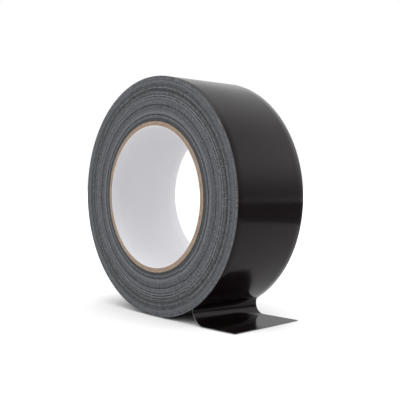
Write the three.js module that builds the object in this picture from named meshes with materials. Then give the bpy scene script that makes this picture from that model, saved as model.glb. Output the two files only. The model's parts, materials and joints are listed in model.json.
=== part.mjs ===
// Duct tape roll: cloth tape wound on a paperboard core, standing on its rim, with the free end
// of the tape peeled off the roll and laid on the table.
// Millimetres, +Z up. The roll's axis runs along Y, and the free end points towards +X.
// The origin lies under the axis, half-way across the width, on the flat that the roll stands on.
import * as THREE from "three";

// Core: a white paper liner, then board plies, each wound round the one inside it.
const CORE_BORE = 76.2; // diameter across the flats of the bore
const LINER_THICKNESS = 0.35;
const BOARD_THICKNESS = 0.58;
const BOARD_PLIES = 4;

// Tape: polyethylene film, cloth scrim and rubber adhesive, laminated together.
const TAPE_WIDTH = 48;
const FILM_THICKNESS = 0.06;
const CLOTH_THICKNESS = 0.04;
const ADHESIVE_THICKNESS = 0.07;

// Roll
const ROLL_DIAMETER = 129.7; // over the end of the last turn
const ROUND_SIDES = 60; // flats round every ring, one of them at the bottom

// Free end
const PEEL_ANGLE = 30.7; // degrees round the roll from straight below its axis, towards +X
const CURL_TURN = 24.3; // degrees that the tape turns in the tight curl where it peels off
const CURL_TIGHTNESS = 0.55; // radius of that curl, as a share of the bend that follows it
const FLAP_LENGTH = 13; // stretch that lies on the table, next to the bend
const TIP_LENGTH = 12.2; // last stretch, up to the cut end
const HINGE_GAP = 0.3; // clearance between two stretches, with their hinge line in the middle
const BEND_STEP = 9; // most degrees turned between two corners of a bend

// Derived sizes
const FULL_TURN = 360;
const boreRadius = CORE_BORE / 2;
const rollRadius = ROLL_DIAMETER / 2;
const tapeThickness = FILM_THICKNESS + CLOTH_THICKNESS + ADHESIVE_THICKNESS;
const sideStep = FULL_TURN / ROUND_SIDES;
const lastTurnStart = rollRadius - tapeThickness;
const axisHeight = turnRadius(PEEL_ANGLE);

const MATERIALS = {
  liner: { color: 0xd3d4d8, roughness: 0.7, metalness: 0 },
  board: { color: 0xa39182, roughness: 0.9, metalness: 0 },
  tape: { color: 0x2b2a2a, roughness: 0.32, metalness: 0 },
  film: { color: 0x1d1b1a, roughness: 0.28, metalness: 0 },
  cloth: { color: 0x8d9094, roughness: 0.9, metalness: 0 },
  adhesive: { color: 0x5e6266, roughness: 0.6, metalness: 0 },
};

function sinDegrees(angle) {
  return Math.sin(THREE.MathUtils.degToRad(angle));
}

function cosDegrees(angle) {
  return Math.cos(THREE.MathUtils.degToRad(angle));
}

// Radius of the roll where the last turn has gone this many degrees from its start: each turn
// climbs one thickness of tape.
function turnRadius(turned) {
  return lastTurnStart + (tapeThickness * turned) / FULL_TURN;
}

// A point of the roll's section, at a sweep in degrees from straight below the axis towards +X.
function rollPoint(radius, sweep) {
  return new THREE.Vector2(radius * sinDegrees(sweep), axisHeight - radius * cosDegrees(sweep));
}

// Corner k of a ring. Its flats, not its corners, lie at the given radius.
function ringCorner(flatRadius, k) {
  return rollPoint(flatRadius / cosDegrees(sideStep / 2), (k + 0.5) * sideStep);
}

function ringOutline(flatRadius) {
  return Array.from({ length: ROUND_SIDES }, (_, k) => ringCorner(flatRadius, k));
}

// The outside of the wound tape, followed along its last turn: from the step under the peel line,
// back under the roll, up, over the top and down to the peel line again. The two corners of the
// bottom flat lie exactly on the floor.
function woundOutline() {
  const outline = [rollPoint(lastTurnStart, PEEL_ANGLE)];
  const firstCorner = Math.ceil(PEEL_ANGLE / sideStep - 0.5) - 1;
  for (let i = 0; i < ROUND_SIDES; i += 1) {
    const k = firstCorner - i;
    const turned = PEEL_ANGLE - (k + 0.5) * sideStep;
    const corner = ringCorner(turnRadius(turned), k);
    if (k === 0 || k === -1) corner.y = 0;
    outline.push(corner);
  }
  outline.push(rollPoint(rollRadius, PEEL_ANGLE));
  return outline;
}

// Sections are drawn with +X across and +Z up, and extruded over the tape's whole width.
function slab(outline, hole) {
  const shape = new THREE.Shape(outline);
  if (hole) shape.holes.push(new THREE.Path(hole));
  return new THREE.ExtrudeGeometry(shape, { depth: TAPE_WIDTH, steps: 1, bevelEnabled: false });
}

function addPiece(group, name, geometry, finish) {
  const mesh = new THREE.Mesh(geometry, new THREE.MeshStandardMaterial(MATERIALS[finish]));
  mesh.name = name;
  group.add(mesh);
}

// The core's plies share their corners with their neighbours, as they are glued face to face.
function addCore(group) {
  let inside = boreRadius;
  const addPly = (name, thickness, finish) => {
    const outside = inside + thickness;
    addPiece(group, name, slab(ringOutline(outside), ringOutline(inside)), finish);
    inside = outside;
  };
  addPly("core_liner", LINER_THICKNESS, "liner");
  for (let ply = 1; ply <= BOARD_PLIES; ply += 1) {
    addPly(`core_board_ply_${ply}`, BOARD_THICKNESS, "board");
  }
  return inside;
}

// The middle of the tape where it leaves the roll, and the way it heads there. A heading is in
// degrees from +X towards +Z.
const peelPoint = rollPoint(rollRadius - tapeThickness / 2, PEEL_ANGLE);
const leaveHeading = 180 + PEEL_ANGLE;
const curlHeading = leaveHeading + CURL_TURN;

// The two bends bring the tape down to the floor, whatever the roll's size.
const bendDrop = peelPoint.y - tapeThickness / 2 - (HINGE_GAP / 2) * sinDegrees(PEEL_ANGLE);
const curlShare = CURL_TIGHTNESS * (cosDegrees(curlHeading) - cosDegrees(leaveHeading));
const bendRadius = bendDrop / (1 - cosDegrees(curlHeading) + curlShare);
const curlRadius = bendRadius * CURL_TIGHTNESS;

// A walk along the middle of the tape, noting the place and heading at each corner.
class TapePath {
  constructor(start, heading) {
    this.place = start.clone();
    this.heading = heading;
    this.begin();
  }

  begin() {
    this.stations = [];
    this.note();
  }

  note() {
    this.stations.push({ place: this.place.clone(), heading: this.heading });
  }

  straight(length) {
    const along = new THREE.Vector2(cosDegrees(this.heading), sinDegrees(this.heading));
    this.place.addScaledVector(along, length);
    this.note();
  }

  bend(radius, degrees) {
    const steps = Math.ceil(degrees / BEND_STEP);
    const turn = degrees / steps;
    for (let i = 0; i < steps; i += 1) {
      const after = this.heading + turn;
      this.place.x += radius * (sinDegrees(after) - sinDegrees(this.heading));
      this.place.y -= radius * (cosDegrees(after) - cosDegrees(this.heading));
      this.heading = after;
      this.note();
    }
  }
}

// The path's corners, moved sideways towards the film.
function offsetStations(stations, offset) {
  return stations.map(
    ({ place, heading }) =>
      new THREE.Vector2(
        place.x - offset * sinDegrees(heading),
        place.y + offset * cosDegrees(heading),
      ),
  );
}

// One stretch of the free end, as its adhesive, cloth and film, which share their faces' corners.
function addStretch(group, name, stations) {
  const layers = [
    ["adhesive", ADHESIVE_THICKNESS],
    ["cloth", CLOTH_THICKNESS],
    ["film", FILM_THICKNESS],
  ];
  let offset = -tapeThickness / 2;
  for (const [finish, thickness] of layers) {
    const under = offsetStations(stations, offset);
    offset += thickness;
    const over = offsetStations(stations, offset).reverse();
    addPiece(group, `${name}_${finish}`, slab([...under, ...over]), finish);
  }
}

function addFreeEnd(group) {
  const path = new TapePath(peelPoint, leaveHeading);
  path.straight(HINGE_GAP / 2);
  path.begin();
  path.bend(curlRadius, CURL_TURN);
  path.bend(bendRadius, FULL_TURN - curlHeading);
  addStretch(group, "tail_neck", path.stations);
  path.straight(HINGE_GAP);
  path.begin();
  path.straight(FLAP_LENGTH);
  addStretch(group, "tail_flap", path.stations);
  path.straight(HINGE_GAP);
  path.begin();
  path.straight(TIP_LENGTH);
  addStretch(group, "tail_tip", path.stations);
}

// Extrusions run along +Z, so the group turns them onto the roll's axis and centres them on it.
const ductTapeRoll = new THREE.Group();
ductTapeRoll.rotation.x = Math.PI / 2;
ductTapeRoll.position.y = TAPE_WIDTH / 2;
const coreRadius = addCore(ductTapeRoll);
addPiece(ductTapeRoll, "wound_tape", slab(woundOutline(), ringOutline(coreRadius)), "tape");
addFreeEnd(ductTapeRoll);

export default ductTapeRoll;
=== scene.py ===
"""Looks of the duct tape roll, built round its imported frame.

The roll stands on its rim with its axis along Y. The tape is wound clockwise as seen from -Y, and
its free end peels off low on the +X side, turns under and lies on the table. Every length below is
in metres, and a size that is plainer in millimetres is multiplied by MM.
"""

import json
import logging
import math
from dataclasses import dataclass, field
from enum import Enum

import bmesh
import bpy
import numpy as np
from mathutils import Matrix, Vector

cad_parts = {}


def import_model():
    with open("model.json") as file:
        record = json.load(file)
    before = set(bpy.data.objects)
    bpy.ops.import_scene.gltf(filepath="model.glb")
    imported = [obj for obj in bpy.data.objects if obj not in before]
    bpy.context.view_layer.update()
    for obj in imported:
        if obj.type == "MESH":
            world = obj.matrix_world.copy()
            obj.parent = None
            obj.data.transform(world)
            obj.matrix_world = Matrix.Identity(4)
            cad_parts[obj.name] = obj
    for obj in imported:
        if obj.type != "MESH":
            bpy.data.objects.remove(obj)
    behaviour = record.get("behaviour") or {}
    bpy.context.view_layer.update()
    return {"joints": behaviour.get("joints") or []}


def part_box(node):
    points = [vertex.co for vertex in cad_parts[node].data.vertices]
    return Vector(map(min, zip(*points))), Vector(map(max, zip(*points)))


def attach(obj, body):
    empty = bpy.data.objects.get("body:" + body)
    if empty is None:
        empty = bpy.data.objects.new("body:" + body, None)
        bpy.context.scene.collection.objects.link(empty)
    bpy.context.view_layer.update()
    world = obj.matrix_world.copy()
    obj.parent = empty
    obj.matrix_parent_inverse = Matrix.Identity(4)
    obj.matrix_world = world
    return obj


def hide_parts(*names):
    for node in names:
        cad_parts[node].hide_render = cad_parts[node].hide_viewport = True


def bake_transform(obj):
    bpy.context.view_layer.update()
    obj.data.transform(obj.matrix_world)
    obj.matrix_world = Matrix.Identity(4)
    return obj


MM = 0.001
FULL_TURN = 2 * math.pi
WEFT_PITCH = 1.27 * MM  # 20 threads to the inch, across the tape
WARP_PITCH = 0.85 * MM  # 30 threads to the inch, along it
UV_NAME = "tape"
SAME_RING = 1.001  # how far apart the distances of one ring's points may be, as a ratio
COLOURS = {"data_type": "RGBA"}  # settings of nodes that mix colours
EASED = {"interpolation_type": "SMOOTHSTEP"}  # settings of nodes that ease a value
IN_LINE = {"noise_dimensions": "1D"}  # settings of noises that run along one value

log = logging.getLogger("duct_tape_roll")


class Side(Enum):
    """The two cut edges of the tape: the left one faces -Y, and the right one +Y."""

    LEFT = -1
    RIGHT = 1


class Layer(Enum):
    """The layers of the tape, from the roll's side outwards."""

    ADHESIVE = "adhesive"
    CLOTH = "cloth"
    FILM = "film"


# ---------------------------------------------------------------- helpers


def linear(hex_colour: str) -> tuple[float, float, float, float]:
    """Turns an sRGB colour into the linear one that a shader takes.

    Args:
        hex_colour: The colour as six hexadecimal digits.

    Returns:
        Red, green, blue and alpha, from 0 to 1.
    """
    parts = [int(hex_colour[i : i + 2], 16) / 255 for i in (0, 2, 4)]
    red, green, blue = (
        c / 12.92 if c <= 0.04045 else ((c + 0.055) / 1.055) ** 2.4 for c in parts
    )
    return red, green, blue, 1.0


def add_node(
    tree: bpy.types.NodeTree, kind: str, inputs: dict | None = None, **settings: object
) -> bpy.types.Node:
    """Adds a node, with its settings and links.

    Args:
        tree: The node tree that it goes into.
        kind: The node's Blender type.
        inputs: Socket name or number, to the value or the output socket that feeds it.
        **settings: Properties of the node.

    Returns:
        The new node.
    """
    node = tree.nodes.new(kind)
    for name, value in settings.items():
        setattr(node, name, value)
    for key, value in (inputs or {}).items():
        if isinstance(value, bpy.types.NodeSocket):
            tree.links.new(value, node.inputs[key])
        else:
            node.inputs[key].default_value = value
    return node


def math_chain(
    tree: bpy.types.NodeTree, start: bpy.types.NodeSocket | float, *steps: tuple
) -> bpy.types.NodeSocket:
    """Runs a value through Math nodes, one after another.

    Args:
        tree: The node tree that they go into.
        start: The value that goes in.
        *steps: Each step's operation and its other operands.

    Returns:
        The socket that holds the result.
    """
    value = start
    for operation, *others in steps:
        inputs = {0: value, **{i + 1: other for i, other in enumerate(others)}}
        value = add_node(tree, "ShaderNodeMath", inputs, operation=operation).outputs[0]
    return value


def make_mesh(
    name: str,
    points: np.ndarray,
    faces: list[tuple[int, ...]],
    materials: list[bpy.types.Material],
    face_materials: list[int] | None = None,
    uv: np.ndarray | None = None,
) -> bpy.types.Object:
    """Makes a smooth mesh object from points and faces, and turns its faces outwards.

    Args:
        name: The piece's name.
        points: One row of X, Y and Z for each point.
        faces: The point numbers round each face.
        materials: The piece's material slots.
        face_materials: The slot number of each face, or None for the first.
        uv: Where each point lies on the tape, along and across, or None.

    Returns:
        The new object, which is in the scene.
    """
    mesh = bpy.data.meshes.new(name)
    mesh.from_pydata(points.tolist(), [], faces)
    for material in materials:
        mesh.materials.append(material)
    if face_materials is not None:
        mesh.polygons.foreach_set("material_index", face_materials)
    if uv is not None:
        layer = mesh.uv_layers.new(name=UV_NAME)
        corners = np.empty(len(mesh.loops), np.int32)
        mesh.loops.foreach_get("vertex_index", corners)
        layer.data.foreach_set("uv", uv[corners].astype(np.float32).ravel())
    work = bmesh.new()
    work.from_mesh(mesh)
    bmesh.ops.recalc_face_normals(work, faces=work.faces)
    work.to_mesh(mesh)
    work.free()
    mesh.polygons.foreach_set("use_smooth", [True] * len(mesh.polygons))
    piece = bpy.data.objects.new(name, mesh)
    bpy.context.scene.collection.objects.link(piece)
    return piece


def sharpen(piece: bpy.types.Object, degrees: float) -> None:
    """Marks a piece's edges sharp where its faces meet at more than the given angle."""
    work = bmesh.new()
    work.from_mesh(piece.data)
    for edge in work.edges:
        if len(edge.link_faces) == 2 and edge.calc_face_angle(0) > math.radians(degrees):
            edge.smooth = False
    work.to_mesh(piece.data)
    work.free()


@dataclass(frozen=True)
class Wander:
    """A smooth random line: a value from -1 to 1 that changes at each step along it."""

    seed: int
    step: float

    def at(self, places: np.ndarray) -> np.ndarray:
        """Gives the line's value at each place.

        Args:
            places: Places along the line, from 0 up.

        Returns:
            The value at each place.
        """
        scaled = np.asarray(places, float) / self.step
        knots = np.random.default_rng(self.seed).uniform(-1, 1, int(scaled.max()) + 3)
        whole = np.floor(scaled).astype(int)
        share = scaled - whole
        share = share * share * (3 - 2 * share)
        return knots[whole] * (1 - share) + knots[whole + 1] * share


# ---------------------------------------------------------------- sizes from the frame


def ring_radii(node: str) -> tuple[float, float]:
    """Reads a many-sided ring's radii off its CAD node.

    Args:
        node: The CAD node's name.

    Returns:
        The inner and the outer radius to the ring's flats.
    """
    low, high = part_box(node)
    centre = (low.z + high.z) / 2
    mesh = bpy.data.objects[node].data
    spots = [(math.hypot(v.co.x, v.co.z - centre), abs(v.co.z - centre)) for v in mesh.vertices]
    nearest = min(distance for distance, _ in spots)
    inner = max(rise for distance, rise in spots if distance < nearest * SAME_RING)
    return inner, (high.z - low.z) / 2


@dataclass(frozen=True)
class RollFrame:
    """The roll's sizes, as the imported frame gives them."""

    axis_height: float
    half_width: float
    core_radius: float
    roll_radius: float
    tape_thickness: float
    peel_sweep: float
    bend_x: float
    curl_x: float
    tail_end: float

    @classmethod
    def read(cls, joints: list[dict]) -> "RollFrame":
        """Reads the sizes off the CAD nodes and joints.

        Args:
            joints: The frame's joints.

        Returns:
            The roll's sizes.
        """
        places = {joint["name"]: Vector(joint["pos_m"]) for joint in joints}
        low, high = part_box("core_liner")
        axis_height = (low.z + high.z) / 2
        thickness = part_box("tail_tip_film")[1].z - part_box("tail_tip_adhesive")[0].z
        peel = places["tail_peel"]
        drop = axis_height - peel.z
        return cls(
            axis_height=axis_height,
            half_width=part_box("wound_tape")[1].y,
            core_radius=ring_radii("wound_tape")[0],
            roll_radius=math.hypot(peel.x, drop) + thickness / 2,
            tape_thickness=thickness,
            peel_sweep=math.atan2(peel.x, drop),
            bend_x=places["tail_bend"].x,
            curl_x=places["tail_curl"].x,
            tail_end=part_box("tail_tip_film")[1].x,
        )

    def point(self, radius: float, sweep: float) -> tuple[float, float]:
        """Gives X and Z at a radius and a sweep from straight below the axis, towards +X."""
        return radius * math.sin(sweep), self.axis_height - radius * math.cos(sweep)


# ---------------------------------------------------------------- finishes


@dataclass(frozen=True)
class Finish:
    """What every finish has: a material name, and a shader that its nodes feed."""

    name: str

    def surface(self, tree: bpy.types.NodeTree) -> dict[str, object]:
        """Works out what feeds the shader.

        Args:
            tree: The material's node tree.

        Returns:
            Shader socket name, to the value or the output socket that feeds it.
        """
        raise NotImplementedError

    def build(self) -> bpy.types.Material:
        """Makes the material, with one Principled shader."""
        material = bpy.data.materials.new(self.name)
        material.use_nodes = True
        tree = material.node_tree
        tree.nodes.clear()
        shader = add_node(tree, "ShaderNodeBsdfPrincipled", self.surface(tree))
        add_node(tree, "ShaderNodeOutputMaterial", {"Surface": shader.outputs[0]})
        return material


@dataclass(frozen=True)
class CalenderedFilm(Finish):
    """Black polyethylene film, calendered onto the cloth: a soft gloss that mirrors the room in a
    blur, over the faint grid of the threads under it."""

    colour: str = "0b0607"
    grey_colour: str = "0f0a0b"
    tint_colour: str = "fff5f7"  # carbon black gives the gloss a faint warmth
    roughness: float = 0.16
    roughness_spread: float = 0.03
    ior: float = 1.51
    specular: float = 0.125  # the calendered skin is micro-rough, and mirrors less than a polished one
    weft_pitch: float = WEFT_PITCH
    warp_pitch: float = WARP_PITCH
    warp_share: float = 0.35  # the warp threads are finer, and show less
    drift_scale: float = 0.25  # how often the weft wavers, for each of its threads
    thread_relief: float = 0.0025 * MM
    scuff_size: float = 9 * MM
    scuff_range: tuple[float, float] = (0.3, 0.7)

    def surface(self, tree: bpy.types.NodeTree) -> dict[str, object]:
        """Mirrors softly over the grid of threads."""
        uv = add_node(tree, "ShaderNodeUVMap", uv_map=UV_NAME).outputs[0]
        spot = add_node(tree, "ShaderNodeSeparateXYZ", {0: uv})
        waver = {"Vector": uv, "Scale": self.drift_scale / self.weft_pitch}
        drift = add_node(tree, "ShaderNodeTexNoise", waver).outputs[0]
        along = math_chain(tree, drift, ("MULTIPLY_ADD", self.weft_pitch, spot.outputs[0]))
        weft, warp = (
            math_chain(
                tree, place, ("MULTIPLY", FULL_TURN / pitch), ("SINE",), ("MULTIPLY_ADD", 0.5, 0.5)
            )
            for place, pitch in ((along, self.weft_pitch), (spot.outputs[1], self.warp_pitch))
        )
        rows = math_chain(tree, warp, ("MULTIPLY_ADD", self.warp_share, weft))
        cloudy = {"Vector": uv, "Scale": 1 / self.scuff_size, "Detail": 5.0, "Roughness": 0.6}
        scuffs = add_node(tree, "ShaderNodeTexNoise", cloudy).outputs[0]
        colours = {0: scuffs, 6: linear(self.colour), 7: linear(self.grey_colour)}
        tint = add_node(tree, "ShaderNodeMix", colours, **COLOURS).outputs[2]
        low, high = self.roughness - self.roughness_spread, self.roughness + self.roughness_spread
        few, many = self.scuff_range
        spread = {0: scuffs, 1: few, 2: many, 3: low, 4: high}
        gloss = add_node(tree, "ShaderNodeMapRange", spread).outputs[0]
        relief = {"Height": rows, "Distance": self.thread_relief}
        return {
            "Base Color": tint,
            "Roughness": gloss,
            "Normal": add_node(tree, "ShaderNodeBump", relief).outputs[0],
            "IOR": self.ior,
            "Specular IOR Level": self.specular,
            "Specular Tint": linear(self.tint_colour),
        }


@dataclass(frozen=True)
class SlitEdge(Finish):
    """Edges of cloth tape, slit on a lathe: matt grey-blue rings of rubber and film, dotted with
    the cut ends of the threads that run across the tape."""

    axis_height: float = 0.0
    core_radius: float = 0.0
    turn_pitch: float = 0.0
    peel_sweep: float = 0.0
    dark_colour: str = "141518"
    light_colour: str = "606266"
    thread_colour: str = "c9cbce"
    # painted shade: the colour that darkens the turns next to the core
    core_shade: str = "303235"
    # painted shade: the near-black that darkens the grooves between turns
    groove_shade_colour: str = "0c0c0e"
    roughness: float = 0.62
    specular: float = 0.15  # cut rubber and fibre are porous
    thread_pitch: float = WEFT_PITCH
    thread_share: float = 0.2
    thread_height: float = 0.4
    thread_rim: tuple[float, float] = (0.4, 0.15)  # where a thread's end fades out and in
    stagger: float = 7.0  # the most threads by which one turn's pattern is off the next one's
    thread_spread: tuple[float, float] = (1.0, 0.1)  # by chance, and at least
    frayed_turns: tuple[float, float] = (0.35, 0.9)  # which turns show their threads, by chance
    fray_spread: tuple[float, float] = (0.7, 0.3)
    fray_seed: float = 0.61
    # how strongly the painted shade in the grooves shows
    groove_shade_share: float = 0.42
    groove_rim: tuple[float, float] = (0.36, 0.5)
    grain_size: float = 0.6 * MM
    bands_per_turn: float = 0.22
    turn_contrast: float = 0.85
    band_contrast: float = 1.25
    grain_contrast: float = 1.1
    darkness: float = 1.05
    shaded_turns: tuple[float, float] = (0.5, 5.0)  # the turns next to the core are painted darker, as painted shade beside the core
    shade_share: float = 0.9
    relief: float = 0.06 * MM

    def spiral(
        self, tree: bpy.types.NodeTree, place: bpy.types.NodeSocket
    ) -> tuple[bpy.types.NodeSocket, bpy.types.NodeSocket]:
        """Finds where a point lies on the wound spiral.

        Args:
            tree: The material's node tree.
            place: The point.

        Returns:
            Its depth, in drawn turns out from the core, and the share of a turn that the spiral has
            made since it passed the peel line.
        """
        spot = add_node(tree, "ShaderNodeSeparateXYZ", {0: place})
        across = spot.outputs[0]
        rise = math_chain(tree, spot.outputs[2], ("SUBTRACT", self.axis_height))
        squares = math_chain(tree, rise, ("MULTIPLY", rise))
        radius = math_chain(tree, across, ("MULTIPLY", across), ("ADD", squares), ("SQRT",))
        depth = math_chain(
            tree, radius, ("SUBTRACT", self.core_radius), ("DIVIDE", self.turn_pitch)
        )
        down = math_chain(tree, rise, ("MULTIPLY", -1.0))
        phase = math_chain(
            tree,
            across,
            ("ARCTAN2", down),
            ("SUBTRACT", self.peel_sweep),
            ("DIVIDE", -FULL_TURN),
            ("FRACT",),
        )
        return depth, phase

    def thread_ends(
        self,
        tree: bpy.types.NodeTree,
        turn: bpy.types.NodeSocket,
        phase: bpy.types.NodeSocket,
        turn_tone: bpy.types.NodeSocket,
    ) -> bpy.types.NodeSocket:
        """Dots each turn with the cut ends of its threads.

        Args:
            tree: The material's node tree.
            turn: The turn's number.
            phase: The share of the turn that is past.
            turn_tone: The turn's own random value.

        Returns:
            How much of a thread's end shows, from 0 to 1.
        """
        length = math_chain(
            tree,
            turn,
            ("MULTIPLY_ADD", self.turn_pitch, self.core_radius),
            ("MULTIPLY", FULL_TURN),
        )
        thread = math_chain(tree, length, ("MULTIPLY", phase), ("DIVIDE", self.thread_pitch))
        thread = math_chain(tree, turn_tone, ("MULTIPLY_ADD", self.stagger, thread))
        number = math_chain(tree, thread, ("FLOOR",))
        key = add_node(tree, "ShaderNodeCombineXYZ", {0: number, 1: turn}).outputs[0]
        tone = add_node(tree, "ShaderNodeTexWhiteNoise", {"Vector": key}).outputs[0]
        ring_key = math_chain(tree, turn, ("ADD", self.fray_seed))
        chance = add_node(tree, "ShaderNodeTexWhiteNoise", {"W": ring_key}, **IN_LINE).outputs[0]
        first, last = self.frayed_turns
        frayed = add_node(tree, "ShaderNodeMapRange", {0: chance, 1: first, 2: last}, **EASED)
        ends = math_chain(tree, thread, ("FRACT",), ("SUBTRACT", 0.5), ("ABSOLUTE",))
        outer, inner = self.thread_rim
        shown = add_node(tree, "ShaderNodeMapRange", {0: ends, 1: outer, 2: inner}, **EASED)
        return math_chain(
            tree,
            shown.outputs[0],
            ("MULTIPLY", math_chain(tree, tone, ("MULTIPLY_ADD", *self.thread_spread))),
            ("MULTIPLY", math_chain(tree, frayed.outputs[0], ("MULTIPLY_ADD", *self.fray_spread))),
        )

    def surface(self, tree: bpy.types.NodeTree) -> dict[str, object]:
        """Rings the edges turn by turn, dots them, and paints shade into the grooves between turns and
        beside the core.
        """
        place = add_node(tree, "ShaderNodeTexCoord").outputs["Object"]
        depth, phase = self.spiral(tree, place)
        turn = math_chain(tree, depth, ("SUBTRACT", phase), ("FLOOR",))
        turn_tone = add_node(tree, "ShaderNodeTexWhiteNoise", {"W": turn}, **IN_LINE).outputs[0]
        dots = self.thread_ends(tree, turn, phase, turn_tone)
        banded = {"W": depth, "Scale": self.bands_per_turn, "Detail": 2.0}
        band_tone = add_node(tree, "ShaderNodeTexNoise", banded, **IN_LINE).outputs[0]
        grainy = {"Vector": place, "Scale": 1 / self.grain_size, "Detail": 3.0}
        grain = add_node(tree, "ShaderNodeTexNoise", grainy).outputs[0]
        # the groove between turns: it sinks the bump, and its painted shade darkens the colour
        seat = math_chain(
            tree, depth, ("SUBTRACT", phase), ("FRACT",), ("SUBTRACT", 0.5), ("ABSOLUTE",)
        )
        bottom, lip = self.groove_rim
        sunk = {0: seat, 1: bottom, 2: lip}
        groove = add_node(tree, "ShaderNodeMapRange", sunk, **EASED).outputs[0]
        tone = math_chain(tree, turn_tone, ("MULTIPLY", self.turn_contrast))
        tone = math_chain(tree, band_tone, ("MULTIPLY_ADD", self.band_contrast, tone))
        tone = math_chain(
            tree, grain, ("MULTIPLY_ADD", self.grain_contrast, tone), ("SUBTRACT", self.darkness)
        )
        start, end = self.shaded_turns
        shaded = {0: depth, 1: start, 2: end, 3: self.shade_share, 4: 0.0}
        ring = linear(self.dark_colour)
        for share, colour in (
            (tone, self.light_colour),
            (math_chain(tree, dots, ("MULTIPLY", self.thread_share)), self.thread_colour),
            # painted shade in the grooves between turns
            (math_chain(tree, groove, ("MULTIPLY", self.groove_shade_share)), self.groove_shade_colour),
            # painted shade beside the core
            (add_node(tree, "ShaderNodeMapRange", shaded).outputs[0], self.core_shade),
        ):
            mixed = {0: share, 6: ring, 7: linear(colour)}
            ring = add_node(tree, "ShaderNodeMix", mixed, **COLOURS).outputs[2]
        height = math_chain(
            tree, dots, ("MULTIPLY_ADD", self.thread_height, grain), ("SUBTRACT", groove)
        )
        relief = {"Height": height, "Distance": self.relief}
        return {
            "Base Color": ring,
            "Normal": add_node(tree, "ShaderNodeBump", relief).outputs[0],
            "Roughness": self.roughness,
            "Specular IOR Level": self.specular,
        }


@dataclass(frozen=True)
class CoreBoard(Finish):
    """Recycled kraft paperboard, wound, glued and sawn: matt tan, flecked, with a furry cut end."""

    colour: str = "9c8878"
    dark_colour: str = "796859"
    roughness: float = 0.92
    fibre_size: float = 0.35 * MM
    fleck_size: float = 2.2 * MM
    contrast: float = 3.2
    darkness: float = 0.35
    relief: float = 0.06 * MM

    def surface(self, tree: bpy.types.NodeTree) -> dict[str, object]:
        """Flecks the board and roughens its fibres."""
        place = add_node(tree, "ShaderNodeTexCoord").outputs["Object"]
        fibres, flecks = (
            add_node(
                tree, "ShaderNodeTexNoise", {"Vector": place, "Scale": 1 / size, "Detail": detail}
            ).outputs[0]
            for size, detail in ((self.fibre_size, 4.0), (self.fleck_size, 6.0))
        )
        tone = math_chain(
            tree, fibres, ("MULTIPLY", flecks), ("MULTIPLY_ADD", self.contrast, -self.darkness)
        )
        colours = {0: tone, 6: linear(self.dark_colour), 7: linear(self.colour)}
        relief = {"Height": fibres, "Distance": self.relief}
        return {
            "Base Color": add_node(tree, "ShaderNodeMix", colours, **COLOURS).outputs[2],
            "Normal": add_node(tree, "ShaderNodeBump", relief).outputs[0],
            "Roughness": self.roughness,
        }


@dataclass(frozen=True)
class LinerPaper(Finish):
    """Bleached white paper, wound in a helix: smooth and matt, faintly cloudy, with a hairline
    where the strip's edges meet."""

    axis_height: float = 0.0
    colour: str = "c9c8cb"
    cloud_colour: str = "c3c2c6"
    seam_colour: str = "8f8d8c"
    roughness: float = 0.78
    strip_rise: float = 110 * MM  # travel along the axis in one turn of the strip
    seam_width: float = 0.35 * MM
    seam_share: float = 0.6
    cloud_size: float = 14 * MM
    fibre_size: float = 0.4 * MM
    fibre_height: float = 0.3
    relief: float = 0.05 * MM

    def surface(self, tree: bpy.types.NodeTree) -> dict[str, object]:
        """Clouds the paper and draws its seam, which crosses mid-width on the +X side."""
        place = add_node(tree, "ShaderNodeTexCoord").outputs["Object"]
        spot = add_node(tree, "ShaderNodeSeparateXYZ", {0: place})
        rise = math_chain(tree, spot.outputs[2], ("SUBTRACT", self.axis_height))
        sweep = math_chain(tree, rise, ("ARCTAN2", spot.outputs[0]), ("DIVIDE", FULL_TURN))
        seam = math_chain(
            tree,
            spot.outputs[1],
            ("DIVIDE", self.strip_rise),
            ("ADD", sweep),
            ("SUBTRACT", 0.5),
            ("FRACT",),
            ("SUBTRACT", 0.5),
            ("ABSOLUTE",),
            ("LESS_THAN", self.seam_width / self.strip_rise / 2),
        )
        cloudy = {"Vector": place, "Scale": 1 / self.cloud_size, "Detail": 4.0}
        clouds = add_node(tree, "ShaderNodeTexNoise", cloudy).outputs[0]
        paper = linear(self.colour)
        seam_tone = math_chain(tree, seam, ("MULTIPLY", self.seam_share))
        for share, colour in ((clouds, self.cloud_colour), (seam_tone, self.seam_colour)):
            mixed = {0: share, 6: paper, 7: linear(colour)}
            paper = add_node(tree, "ShaderNodeMix", mixed, **COLOURS).outputs[2]
        fibrous = {"Vector": place, "Scale": 1 / self.fibre_size, "Detail": 3.0}
        fibres = add_node(tree, "ShaderNodeTexNoise", fibrous).outputs[0]
        height = math_chain(tree, fibres, ("MULTIPLY", self.fibre_height), ("SUBTRACT", seam))
        relief = {"Height": height, "Distance": self.relief}
        return {
            "Base Color": paper,
            "Normal": add_node(tree, "ShaderNodeBump", relief).outputs[0],
            "Roughness": self.roughness,
        }


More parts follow.
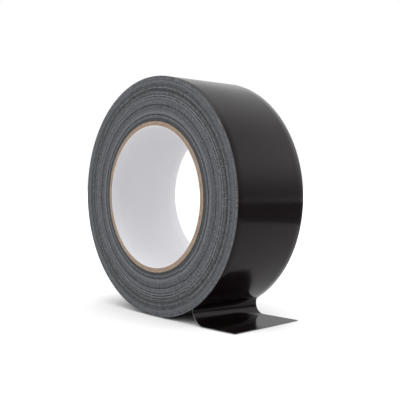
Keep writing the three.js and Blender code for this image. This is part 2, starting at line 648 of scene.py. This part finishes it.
@dataclass(frozen=True)
class WovenThreads(Finish):
    """A plain weave of spun threads, seen bare as scrim or through a skin of rubber: a fine grid
    whose threads stand proud and are lighter than the gaps."""

    thread_colour: str = "c3c6c7"
    gap_colour: str = "6f7478"
    roughness: float = 0.85
    specular: float = 0.3
    weft_pitch: float = WEFT_PITCH
    warp_pitch: float = WARP_PITCH
    thinness: float = 3.0  # how narrow a thread is against its pitch
    fuzz_size: float = 0.5 * MM
    contrast: float = 1.7
    relief: float = 0.03 * MM

    def surface(self, tree: bpy.types.NodeTree) -> dict[str, object]:
        """Crosses the two sets of threads."""
        uv = add_node(tree, "ShaderNodeUVMap", uv_map=UV_NAME).outputs[0]
        spot = add_node(tree, "ShaderNodeSeparateXYZ", {0: uv})
        weft, warp = (
            math_chain(
                tree,
                place,
                ("MULTIPLY", FULL_TURN / 2 / pitch),
                ("SINE",),
                ("ABSOLUTE",),
                ("POWER", self.thinness),
            )
            for place, pitch in zip(spot.outputs, (self.weft_pitch, self.warp_pitch))
        )
        grid = math_chain(tree, weft, ("MAXIMUM", warp))
        fuzzy = {"Vector": uv, "Scale": 1 / self.fuzz_size, "Detail": 3.0}
        fuzz = add_node(tree, "ShaderNodeTexNoise", fuzzy).outputs[0]
        tone = math_chain(tree, grid, ("MULTIPLY", fuzz), ("MULTIPLY", self.contrast))
        colours = {0: tone, 6: linear(self.gap_colour), 7: linear(self.thread_colour)}
        relief = {"Height": grid, "Distance": self.relief}
        return {
            "Base Color": add_node(tree, "ShaderNodeMix", colours, **COLOURS).outputs[2],
            "Normal": add_node(tree, "ShaderNodeBump", relief).outputs[0],
            "Roughness": self.roughness,
            "Specular IOR Level": self.specular,
        }


@dataclass(frozen=True)
class PaintedSweep(Finish):
    """The table: white paint, rolled on, so faintly mottled and without gloss."""

    colour: str = "e6e6e6"
    mottle_colour: str = "e9e9e9"
    roughness: float = 0.9
    specular: float = 0.1
    mottle_scale: float = 40.0

    def surface(self, tree: bpy.types.NodeTree) -> dict[str, object]:
        """Mottles the paint."""
        mottle = add_node(tree, "ShaderNodeTexNoise", {"Scale": self.mottle_scale}).outputs[0]
        colours = {0: mottle, 6: linear(self.colour), 7: linear(self.mottle_colour)}
        return {
            "Base Color": add_node(tree, "ShaderNodeMix", colours, **COLOURS).outputs[2],
            "Roughness": self.roughness,
            "Specular IOR Level": self.specular,
        }


@dataclass(frozen=True)
class GreyCard(Finish):
    """The flag: matt grey card, which gives back little light and no gloss."""

    colour: str = "8c8c8c"

    def surface(self, tree: bpy.types.NodeTree) -> dict[str, object]:
        """Leaves the card plain."""
        return {"Base Color": linear(self.colour), "Roughness": 1.0, "Specular IOR Level": 0.0}


# ---------------------------------------------------------------- the core


@dataclass
class PaperCore:
    """The core: a white paper liner and four plies of board, wound on each other and sawn off
    flush with the tape."""

    frame: RollFrame
    board_plies: int = 4
    columns: int = 180
    edge_round: float = 0.07 * MM
    end_fuzz: float = 0.035 * MM
    fuzz_seed: int = 5
    bore_rows: int = 9
    outer_rows: int = 5
    ply_steps: tuple[float, ...] = (0.05 * MM, 0.0, 0.04 * MM, 0.01 * MM, 0.03 * MM)
    pieces: list[bpy.types.Object] = field(default_factory=list)

    def ring(
        self, name: str, inner: float, outer: float, recess: float, material: bpy.types.Material
    ) -> bpy.types.Object:
        """Builds one ply: a ring with softened edges and a fibrous, uneven cut at each end.

        Args:
            name: The piece's name.
            inner: Inside radius.
            outer: Outside radius.
            recess: How far each end sits behind the tape's edge.
            material: The ply's material.

        Returns:
            The ring.
        """
        half = self.frame.half_width - recess
        soft = self.edge_round
        middle = (inner + outer) / 2
        inside_rows = [
            (inner, y) for y in np.linspace(half - soft, soft - half, self.bore_rows)
        ]
        near_end = [(inner + soft, -half), (middle, -half), (outer - soft, -half)]
        outside_rows = [
            (outer, y) for y in np.linspace(soft - half, half - soft, self.outer_rows)
        ]
        far_end = [(outer - soft, half), (middle, half), (inner + soft, half)]
        profile = inside_rows + near_end + outside_rows + far_end
        rows = len(profile)
        noise = np.random.default_rng(len(self.pieces) + self.fuzz_seed)
        fuzz = noise.normal(0, self.end_fuzz, (self.columns, rows))
        points = []
        for k in range(self.columns):
            sweep = FULL_TURN * k / self.columns
            for row, (radius, y) in enumerate(profile):
                x, z = self.frame.point(radius, sweep)
                shift = min(0.0, fuzz[k, row]) if abs(y) > half - soft / 2 else 0.0
                points.append((x, y + math.copysign(1.0, y) * shift, z))
        faces = []
        for k in range(self.columns):
            here, there = k * rows, (k + 1) % self.columns * rows
            for i in range(rows):
                after = (i + 1) % rows
                faces.append((here + i, here + after, there + after, there + i))
        return make_mesh(name, np.array(points), faces, [material])

    def build(self) -> None:
        """Builds every ply and puts it in its CAD node's place."""
        paper = LinerPaper("bleached_liner_paper", axis_height=self.frame.axis_height).build()
        board = CoreBoard("sawn_kraft_board").build()
        plies = [("core_liner", paper, "core_liner")]
        for ply in range(1, self.board_plies + 1):
            plies.append((f"core_board_ply_{ply}", board, "core_board"))
        for recess, (node, material, slot) in zip(self.ply_steps, plies, strict=True):
            inner, outer = ring_radii(node)
            piece = self.ring(f"{node}_sawn", inner, outer, recess, material)
            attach(piece, "roll")
            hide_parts(node)
            self.pieces.append(piece)


# ---------------------------------------------------------------- the wound tape


@dataclass
class WoundTape:
    """The wound tape, as one strip in a true spiral. The inner turns are drawn four to a ridge,
    so that they show, and the last turn has its real thickness and ends in the step where the
    free end peels off."""

    frame: RollFrame
    film: bpy.types.Material
    ridge_pitch: float = 0.68 * MM
    columns: int = 300
    samples: int = 4
    rim_rows: int = 13
    rim_edge: float = 0.1 * MM
    valley: float = 0.1 * MM
    mean_recess: float = 0.22 * MM
    slow_shift: float = 0.1 * MM
    turn_shift: float = 0.07 * MM
    film_ripple: float = 0.006 * MM
    slow_wander: Wander = Wander(seed=11, step=4.5)
    turn_wander: Wander = Wander(seed=29, step=1.0)
    ripple_seed: int = 50
    ripple_step: float = 0.05
    ripple_fade: float = 0.025  # the share of the last turn in which the ripple dies out

    def __post_init__(self) -> None:
        """Works out how many turns are drawn, and their pitch."""
        depth = self.frame.roll_radius - self.frame.tape_thickness - self.frame.core_radius
        self.turns = round(depth / self.ridge_pitch) + 1
        self.pitch = depth / (self.turns - 1)
        self.last_sample = (self.turns - 1) * self.samples

    def radius(self, depth: np.ndarray | float) -> np.ndarray:
        """Gives the radius at a depth counted in drawn turns out from the core."""
        depth = np.asarray(depth, float)
        inner = np.minimum(depth, self.turns - 1) * self.pitch
        last = np.maximum(depth - (self.turns - 1), 0) * self.frame.tape_thickness
        return self.frame.core_radius + inner + last

    def edge_shift(self, strip: np.ndarray) -> np.ndarray:
        """Gives how far the strip has wandered towards +Y, at places counted in turns along it."""
        slow = self.slow_wander.at(strip) * self.slow_shift
        return slow + self.turn_wander.at(strip) * self.turn_shift

    def side_points(self, side: Side) -> tuple[np.ndarray, np.ndarray, np.ndarray]:
        """Places the points of one side face.

        Args:
            side: Which side face.

        Returns:
            The spiral grid, with a row for each column of samples, then the end of the last turn,
            then the line on the core.
        """
        frame = self.frame
        phase = np.arange(self.columns + 1) / self.columns
        sample = np.arange(self.last_sample + 1)
        depth = sample[None, :] / self.samples + phase[:, None]
        turn = sample // self.samples
        strip = turn[None, :] + phase[:, None]
        shift = self.edge_shift(strip)
        before = self.edge_shift(np.maximum(strip - 1, 0))
        edge = self.mean_recess - side.value * shift
        edge_before = self.mean_recess - side.value * before
        boundary = (sample % self.samples == 0)[None, :]
        recess = np.where(boundary, np.maximum(edge, edge_before) + self.valley, edge)
        recess[:, -1] = edge[:, -2]
        radius = self.radius(depth)
        radius[:, -1] -= self.rim_edge / 2
        sweep = frame.peel_sweep - FULL_TURN * phase[:, None]
        grid = np.stack(
            [
                radius * np.sin(sweep),
                side.value * (frame.half_width - np.maximum(recess, 0)),
                frame.axis_height - radius * np.cos(sweep),
            ],
            axis=-1,
        )
        spare = self.samples - 1
        end = grid[self.columns, self.last_sample - spare :]
        core = grid[: self.columns, 0].copy()
        core[:, 0] = frame.core_radius * np.sin(sweep[: self.columns, 0])
        core[:, 2] = frame.axis_height - frame.core_radius * np.cos(sweep[: self.columns, 0])
        return grid[: self.columns], end, core[1:]

    def side_faces(self, start: int) -> tuple[list[tuple[int, ...]], dict[str, list[int]]]:
        """Numbers the faces of one side face.

        Args:
            start: The number of its first point.

        Returns:
            The faces, and the point numbers along its rim, its step and its core line.
        """
        columns, samples, last = self.columns, self.samples, self.last_sample
        row = last + 1
        end_start = start + columns * row
        core_start = end_start + samples
        spiral = [[start + k * row + m for m in range(row)] for k in range(columns)]
        closing = [spiral[0][m + samples] for m in range(last - samples + 1)]
        closing += [end_start + i for i in range(samples)]
        spiral.append(closing)
        faces = [
            (spiral[k][m], spiral[k + 1][m], spiral[k + 1][m + 1], spiral[k][m + 1])
            for k in range(columns)
            for m in range(last)
        ]
        core = [spiral[0][0]] + [core_start + i for i in range(columns - 1)]
        faces.append((core[0], core[1], spiral[1][0]))
        faces += [
            (core[k], core[k + 1], spiral[k + 1][0], spiral[k][0]) for k in range(1, columns - 1)
        ]
        start_face = [spiral[0][m] for m in range(samples + 1)]
        faces.append((core[-1], *start_face, spiral[columns - 1][0]))
        lines = {
            "rim": [spiral[k][last] for k in range(columns)] + [closing[-1]],
            "step": [spiral[0][last]] + closing[-samples:],
            "core": core,
        }
        return faces, lines

    def rim_points(self) -> np.ndarray:
        """Places the film's points between the two side faces, a row of them for each column."""
        frame = self.frame
        phase = np.arange(self.columns + 1) / self.columns
        inset = frame.half_width - self.mean_recess - self.rim_edge
        across = np.linspace(-inset, inset, self.rim_rows)
        shift = self.edge_shift(self.turns - 2 + phase)
        radius = self.radius(self.turns - 1 + phase)[:, None]
        lines = [Wander(self.ripple_seed + i, self.ripple_step) for i in range(self.rim_rows)]
        ripple = np.stack([line.at(phase) for line in lines], axis=1)
        fade = np.minimum(1, (1 - phase) / self.ripple_fade)[:, None]
        radius = radius + ripple * fade * self.film_ripple
        sweep = frame.peel_sweep - FULL_TURN * phase[:, None]
        y = across[None, :] + shift[:, None]
        return np.stack(
            [radius * np.sin(sweep), y, frame.axis_height - radius * np.cos(sweep)], axis=-1
        )

    def build(self) -> bpy.types.Object:
        """Builds the wound tape and puts it in its CAD node's place.

        Returns:
            The wound tape.
        """
        points, faces, lines = [], [], {}
        count = 0
        for side in Side:
            grid, end, core = self.side_points(side)
            side_faces, lines[side] = self.side_faces(count)
            faces += side_faces
            stacked = np.concatenate([grid.reshape(-1, 3), end, core])
            points.append(stacked)
            count += len(stacked)
        slots = [0] * len(faces)
        rim = self.rim_points()
        rows = self.rim_rows
        left, right = lines[Side.LEFT], lines[Side.RIGHT]
        across = [
            [left["rim"][k], *(count + k * rows + i for i in range(rows)), right["rim"][k]]
            for k in range(self.columns + 1)
        ]
        for now, after in zip(across, across[1:]):
            for i in range(rows + 1):
                faces.append((now[i], now[i + 1], after[i + 1], after[i]))
        points.append(rim.reshape(-1, 3))
        slots += [1] * (len(faces) - len(slots))
        faces += self.hidden_faces(left, right, across)
        slots += [0] * (len(faces) - len(slots))
        points = np.concatenate(points)
        edge = SlitEdge(
            "slit_cloth_tape_edges",
            axis_height=self.frame.axis_height,
            core_radius=self.frame.core_radius,
            turn_pitch=self.pitch,
            peel_sweep=self.frame.peel_sweep,
        ).build()
        piece = make_mesh(
            "wound_tape_turns", points, faces, [edge, self.film], slots, self.tape_places(points)
        )
        sharpen(piece, degrees=60)
        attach(piece, "roll")
        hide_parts("wound_tape")
        return piece

    def hidden_faces(
        self, left: dict[str, list[int]], right: dict[str, list[int]], across: list[list[int]]
    ) -> list[tuple[int, ...]]:
        """Closes the strip on the core and at the step under the peel line.

        Args:
            left: Lines of point numbers round the left side face.
            right: The same for the right side face.
            across: Point numbers across the rim, for each column.

        Returns:
            The closing faces.
        """
        columns = self.columns
        faces = [
            (left["core"][k], left["core"][(k + 1) % columns],
             right["core"][(k + 1) % columns], right["core"][k])
            for k in range(columns)
        ]
        step_left, step_right = left["step"], right["step"]
        for i in range(len(step_left) - 2):
            faces.append((step_left[i], step_left[i + 1], step_right[i + 1], step_right[i]))
        top = across[-1]
        bottom = across[0]
        faces[-(len(step_left) - 2)] = (
            step_left[0], step_left[1], step_right[1], *reversed(bottom[1:])
        )
        faces.append((step_left[-2], *top, step_right[-2]))
        return faces

    def tape_places(self, points: np.ndarray) -> np.ndarray:
        """Gives where each point lies on the tape: along it from the last turn's start, and across."""
        x, z = points[:, 0], points[:, 2] - self.frame.axis_height
        turned = (self.frame.peel_sweep - np.arctan2(x, -z)) % FULL_TURN
        turned[-self.rim_rows :] = FULL_TURN  # the film's points at the end of the last turn
        return np.stack([turned * self.frame.roll_radius, points[:, 1]], axis=-1)


# ---------------------------------------------------------------- the free end


@dataclass(frozen=True)
class Edge:
    """How one edge of the free end comes off the roll and meets the table."""

    reach: float  # how far past the bend's joint the edge straightens out
    height: float  # how far above the table it is there
    slope: float  # how steeply it rises from there to the cut end
    leave_pull: float  # how long it keeps the roll's heading
    land_pull: float  # how early it turns level

    def mix(self, other: "Edge", share: float) -> "Edge":
        """Gives the line that lies a share of the way to the other edge."""
        pairs = zip(vars(self).values(), vars(other).values(), strict=True)
        return Edge(*(a + (b - a) * share for a, b in pairs))


@dataclass
class TapePath:
    """The middle of the free end's thickness, from the peel line to the cut end. The far edge
    touches the table at the bend, and the near one is a little twisted up off it."""

    frame: RollFrame
    far: Edge = Edge(0.9 * MM, 0.05 * MM, 0.01, 2.9 * MM, 6.3 * MM)
    near: Edge = Edge(3.0 * MM, 0.35 * MM, 0.0, 2.5 * MM, 4.8 * MM)
    skew: tuple[float, float] = (0.042, 0.064)  # each edge's run towards +Y for its length
    trim: tuple[float, float] = (1.3 * MM, 3.9 * MM)  # cut askew, so that the near edge is shorter
    bend_samples: int = 120

    def __post_init__(self) -> None:
        """Measures the tape along its far edge."""
        points, length = self.trace(0.0, 0.0)
        self.bent_length = length
        self.length = length + (self.frame.tail_end - points[-1, 0]) / math.cos(self.far.slope)

    def trace(self, share: float, straight: float) -> tuple[np.ndarray, float]:
        """Follows one line of the tape.

        Args:
            share: How near the line is to the near edge, from 0 to 1.
            straight: The length of the straight part after the bend.

        Returns:
            Rows of X, Z and heading along the line, and the length of its bend.
        """
        frame = self.frame
        edge = self.far.mix(self.near, share)
        half_thick = frame.tape_thickness / 2
        leave = math.pi + frame.peel_sweep
        start = np.array(frame.point(frame.roll_radius - half_thick, frame.peel_sweep))
        end = np.array([frame.bend_x + edge.reach, half_thick + edge.height])
        level = np.array([math.cos(edge.slope), math.sin(edge.slope)])
        first = start + edge.leave_pull * np.array([math.cos(leave), math.sin(leave)])
        second = end - edge.land_pull * level
        t = np.linspace(0, 1, self.bend_samples)[:, None]
        place = (
            (1 - t) ** 3 * start
            + 3 * (1 - t) ** 2 * t * first
            + 3 * (1 - t) * t**2 * second
            + t**3 * end
        )
        length = float(np.linalg.norm(np.diff(place, axis=0), axis=1).sum())
        if straight:
            place = np.concatenate([place, [end + level * straight]])
        pace = np.gradient(place, axis=0)
        heading = np.unwrap(np.arctan2(pace[:, 1], pace[:, 0])) % FULL_TURN
        heading[0], heading[-1] = leave, FULL_TURN + edge.slope
        heading[heading < math.pi / 2] += FULL_TURN
        return np.column_stack([place, heading]), length

    def cut(self, distances: np.ndarray, share: float) -> np.ndarray:
        """Shortens the flat part of a line evenly, to bring its end to the cut.

        Args:
            distances: Distances along the tape before it is cut.
            share: How near the line is to the near edge, from 0 to 1.

        Returns:
            The distances after the cut.
        """
        flat = np.maximum(distances - self.bent_length, 0) / (self.length - self.bent_length)
        return distances - np.interp(share, (0, 1), self.trim) * flat

    def line(self, distances: np.ndarray, share: float) -> np.ndarray:
        """Places points along one line of the tape.

        Args:
            distances: Distances along the tape from the peel line.
            share: How near the line is to the near edge, from 0 to 1.

        Returns:
            Rows of X, Z and heading.
        """
        _, bent = self.trace(share, 0.0)
        points, _ = self.trace(share, self.length - bent)
        distances = self.cut(distances, share)
        steps = np.linalg.norm(np.diff(points[:, :2], axis=0), axis=1)
        run = np.concatenate([[0.0], np.cumsum(steps)])
        return np.column_stack([np.interp(distances, run, points[:, i]) for i in range(3)])

    def distance_at(self, x: float) -> float:
        """Gives the distance along the far edge of a place on the stretch that lies flat."""
        return self.length - (self.frame.tail_end - x) / math.cos(self.far.slope)


@dataclass(frozen=True)
class Stretch:
    """A stretch of the free end across one joint."""

    name: str
    node: str
    before: str
    after: str
    first: float
    last: float
    bend_start: tuple[float, float, float]
    bend_end: tuple[float, float, float]


@dataclass
class FreeEnd:
    """The free end of the tape: film, cloth and adhesive, each in three stretches, one across each of
    the three joints. Each stretch meets the next where the tape stays rigid."""

    frame: RollFrame
    film: bpy.types.Material
    film_thickness: float = 0.06 * MM
    cloth_thickness: float = 0.04 * MM
    step_length: float = 0.35 * MM
    rows: int = 25
    edge_recess: float = 0.22 * MM
    ripple: float = 0.02 * MM
    ripple_length: float = 6 * MM
    ripple_seed: int = 70
    ripple_rows: int = 5  # neighbouring rows that rise and fall together
    peel_reach: float = 3 * MM
    bend_reach: float = 2.4 * MM
    root_length: float = 10.2 * MM
    middle_x: float = 46.2 * MM
    pieces: list[bpy.types.Object] = field(default_factory=list)

    def __post_init__(self) -> None:
        """Lays out the path and the three stretches."""
        frame = self.frame
        self.path = TapePath(frame)
        (x, z, _), after_peel = self.path.line(np.array([0.0, self.peel_reach]), 0.0)
        half_thick = frame.tape_thickness / 2
        split = self.path.distance_at(self.middle_x)
        bends = [
            ((place - self.bend_reach, 0, half_thick), (place + self.bend_reach, 0, half_thick))
            for place in (frame.bend_x, frame.curl_x)
        ]
        self.stretches = [
            Stretch(
                "root", "tail_neck", "roll", "tail_neck", 0.0, self.root_length,
                (x, 0, z), (after_peel[0], 0, after_peel[1]),
            ),
            Stretch(
                "middle", "tail_flap", "tail_neck", "tail_flap", self.root_length, split, *bends[0]
            ),
            Stretch("tip", "tail_tip", "tail_flap", "tail_tip", split, self.path.length, *bends[1]),
        ]

    def layer_span(self, layer: Layer) -> tuple[float, float]:
        """Gives a layer's two faces, as offsets from the middle of the tape towards its film."""
        top = self.frame.tape_thickness / 2
        under_film = top - self.film_thickness
        under_cloth = under_film - self.cloth_thickness
        return {
            Layer.FILM: (under_film, top),
            Layer.CLOTH: (under_cloth, under_film),
            Layer.ADHESIVE: (-top, under_cloth),
        }[layer]

    def sheet_points(self, offset: float, stations: np.ndarray) -> np.ndarray:
        """Places the points of one face of one layer.

        Args:
            offset: The face's offset from the middle of the tape.
            stations: Distances along the tape.

        Returns:
            A point for each station and row, station by station.
        """
        half = self.frame.half_width - self.edge_recess
        fade = np.minimum(1, stations / self.ripple_length)
        grid = np.empty((len(stations), self.rows, 3))
        for j, y in enumerate(np.linspace(-half, half, self.rows)):
            share = (half - y) / (2 * half)
            x, z, heading = self.path.line(stations, share).T
            seed = self.ripple_seed + j // self.ripple_rows
            swell = Wander(seed, self.ripple_length).at(stations)
            away = offset + swell * fade * self.ripple
            grid[:, j, 0] = x - away * np.sin(heading)
            grid[:, j, 1] = y + np.interp(share, (0, 1), self.path.skew) * stations
            grid[:, j, 2] = z + away * np.cos(heading)
        return grid.reshape(-1, 3)

    def build_layer(
        self, stretch: Stretch, layer: Layer, material: bpy.types.Material
    ) -> bpy.types.Object:
        """Builds one layer of one stretch as a thin closed sheet.

        Args:
            stretch: The stretch.
            layer: The layer.
            material: The layer's material.

        Returns:
            The sheet.
        """
        count = max(8, round((stretch.last - stretch.first) / self.step_length)) + 1
        stations = np.linspace(stretch.first, stretch.last, count)
        low, high = self.layer_span(layer)
        points = np.concatenate([self.sheet_points(face, stations) for face in (low, high)])
        rows, sheet = self.rows, count * self.rows
        faces = []
        for i in range(count - 1):
            for j in range(rows - 1):
                a = i * rows + j
                quad = (a, a + 1, a + rows + 1, a + rows)
                faces += [quad, tuple(sheet + n for n in quad)]
        border = list(range(rows))
        border += [i * rows + rows - 1 for i in range(1, count)]
        border += [(count - 1) * rows + j for j in range(rows - 2, -1, -1)]
        border += [i * rows for i in range(count - 2, 0, -1)]
        for a, b in zip(border, border[1:] + border[:1]):
            faces.append((a, b, sheet + b, sheet + a))
        along = np.repeat(stations, rows) + FULL_TURN * self.frame.roll_radius
        uv = np.stack([np.tile(along, 2), points[:, 1]], axis=-1)
        name = f"free_end_{stretch.name}_{layer.value}"
        piece = make_mesh(name, points, faces, [material], uv=uv)
        sharpen(piece, degrees=50)
        return piece

    def build(self) -> None:
        """Builds every stretch and layer."""
        cloth = WovenThreads("woven_scrim").build()
        adhesive = WovenThreads(
            "calendered_rubber_adhesive",
            thread_colour="7d8286",
            gap_colour="555a5f",
            roughness=0.45,
            specular=0.5,
            relief=0.02 * MM,
        ).build()
        materials = {Layer.FILM: self.film, Layer.CLOTH: cloth, Layer.ADHESIVE: adhesive}
        for stretch in self.stretches:
            sheets = []
            for layer, material in materials.items():
                piece = self.build_layer(stretch, layer, material)
                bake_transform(piece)
                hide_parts(f"{stretch.node}_{layer.value}")
                sheets.append(piece)
            first, last = self.path.cut(np.array([stretch.first, stretch.last]), 0.5)
            self.pieces += sheets


# ---------------------------------------------------------------- studio and camera


@dataclass
class Studio:
    """A white table in soft light from all round, brightest overhead and behind the roll."""

    frame: RollFrame
    table_size: float = 6.0
    horizon_light: float = 0.85
    wall_light: float = 2.15
    wall_top: float = 0.38  # heights on the dome are from 0 at the horizon to 1 overhead
    wall_azimuth: float = math.radians(65)
    wall_facing: tuple[float, float] = (0.2, 1.0)
    far_wall_share: float = 0.38
    crown_share: float = 0.72
    crown_rise: tuple[float, float] = (0.4, 0.7)
    roof_light: float = 2.9
    roof_rise: tuple[float, float] = (0.75, 0.95)
    front_light: float = 0.8
    front_aim: tuple[float, float, float] = (-0.1, -0.93, 0.35)
    front_spread: tuple[float, float] = (0.2, 0.9)
    ground_rise: tuple[float, float] = (-0.02, 0.0)
    flag_azimuth: float = math.radians(42)
    flag_distance: float = 165 * MM
    flag_height: float = 52 * MM
    flag_length: float = 270 * MM

    def plane(
        self, name: str, corners: list[tuple[float, float, float]], material: bpy.types.Material
    ) -> bpy.types.Object:
        """Makes a flat stage piece through four corners."""
        piece = make_mesh(name, np.array(corners), [(0, 1, 2, 3)], [material])
        return piece

    def build_table(self) -> None:
        """Lays the white table."""
        half = self.table_size / 2
        corners = [(-half, -half, 0), (half, -half, 0), (half, half, 0), (-half, half, 0)]
        self.plane("table", corners, PaintedSweep("rolled_white_paint").build())

    def build_flag(self) -> None:
        """Stands a grey card beside the roll, which only its gloss shows, as a dark band."""
        out = Vector((math.cos(self.flag_azimuth), math.sin(self.flag_azimuth), 0))
        along = Vector((-out.y, out.x, 0)) * self.flag_length / 2
        foot = Vector((self.frame.roll_radius, 0, 0)) + out * self.flag_distance
        top = Vector((0, 0, self.flag_height))
        corners = [foot - along, foot + along, foot + along + top, foot - along + top]
        card = self.plane("flag", [tuple(c) for c in corners], GreyCard("grey_card").build())
        card.visible_camera = False
        card.visible_diffuse = False
        card.visible_shadow = False

    def build_light(self) -> None:
        """Lights the studio from its whole dome; the camera itself sees plain white."""
        world = bpy.data.worlds.new("studio")
        bpy.context.scene.world = world
        world.use_nodes = True
        tree = world.node_tree
        tree.nodes.clear()
        way = add_node(tree, "ShaderNodeTexCoord").outputs["Generated"]
        height = add_node(tree, "ShaderNodeSeparateXYZ", {0: way}).outputs[2]
        level = math_chain(
            tree, height, ("MULTIPLY", height), ("SUBTRACT", 1.0), ("MULTIPLY", -1.0), ("SQRT",)
        )
        toward = (math.cos(self.wall_azimuth), math.sin(self.wall_azimuth), 0.0)
        aims = (toward, tuple(Vector(self.front_aim).normalized()))
        turned, ahead = (
            add_node(
                tree, "ShaderNodeVectorMath", {0: way, 1: aim}, operation="DOT_PRODUCT"
            ).outputs["Value"]
            for aim in aims
        )
        facing = math_chain(tree, turned, ("DIVIDE", level))
        ranges = (
            (facing, self.wall_facing, (self.far_wall_share, 1.0)),
            (height, (0.0, self.wall_top), (self.horizon_light, self.wall_light)),
            (height, self.crown_rise, (1.0, self.crown_share)),
            (height, self.roof_rise, (0.0, 1.0)),
            (ahead, self.front_spread, (0.0, self.front_light)),
            (height, self.ground_rise, (0.0, 1.0)),
        )
        share, walls, crown, roof, front, above = (
            add_node(
                tree,
                "ShaderNodeMapRange",
                {0: value, 1: taken[0], 2: taken[1], 3: given[0], 4: given[1]},
                **EASED,
            ).outputs[0]
            for value, taken, given in ranges
        )
        walls = math_chain(tree, walls, ("MULTIPLY", share), ("MULTIPLY", crown))
        dome = add_node(tree, "ShaderNodeMix", {0: roof, 2: walls, 3: self.roof_light}).outputs[0]
        strength = math_chain(tree, dome, ("ADD", front), ("MULTIPLY", above))
        seen = add_node(tree, "ShaderNodeLightPath").outputs["Is Camera Ray"]
        shown = add_node(tree, "ShaderNodeMix", {0: seen, 2: strength, 3: 1.0}).outputs[0]
        background = add_node(
            tree, "ShaderNodeBackground", {"Color": (1.0, 1.0, 1.0, 1.0), "Strength": shown}
        )
        add_node(tree, "ShaderNodeOutputWorld", {"Surface": background.outputs[0]})

    def build(self) -> None:
        """Builds the table, the flag and the light."""
        self.build_table()
        self.build_flag()
        self.build_light()
        bpy.context.scene.view_settings.view_transform = "Standard"


@dataclass
class Viewpoint:
    """The camera: low, a little off the roll's left side, at the angle that shows rim and bore."""

    frame: RollFrame
    azimuth: float = math.radians(48.02)
    elevation: float = math.radians(1.93)
    distance: float = 366.2 * MM
    lens: float = 59.85
    sensor: float = 36.0
    clip: tuple[float, float] = (0.01, 100.0)
    aim_x: float = 11.78 * MM
    aim_below_axis: float = 1.87 * MM

    def build(self) -> None:
        """Makes the camera and gives it to the scene."""
        data = bpy.data.cameras.new("viewpoint")
        data.lens, data.sensor_width = self.lens, self.sensor
        data.clip_start, data.clip_end = self.clip
        camera = bpy.data.objects.new("viewpoint", data)
        bpy.context.scene.collection.objects.link(camera)
        level = Vector((math.sin(self.azimuth), -math.cos(self.azimuth), 0))
        back = level * math.cos(self.elevation) + Vector((0, 0, math.sin(self.elevation)))
        aim = Vector((self.aim_x, 0, self.frame.axis_height - self.aim_below_axis))
        camera.location = aim + back * self.distance
        camera.rotation_mode = "QUATERNION"
        camera.rotation_quaternion = (-back).to_track_quat("-Z", "Y")
        bpy.context.scene.camera = camera


def main() -> None:
    """Builds the camera, the roll's sub-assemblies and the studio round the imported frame."""
    logging.basicConfig(level=logging.INFO, format="%(message)s")
    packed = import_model()
    frame = RollFrame.read(packed["joints"])
    Viewpoint(frame).build()
    film = CalenderedFilm("calendered_polyethylene_film").build()
    core = PaperCore(frame)
    core.build()
    wound = WoundTape(frame, film).build()
    free_end = FreeEnd(frame, film)
    free_end.build()
    for piece in [*core.pieces, wound, *free_end.pieces]:
        log.info("%s: %d faces", piece.name, len(piece.data.polygons))
    Studio(frame).build()


if __name__ == "__main__":
    main()
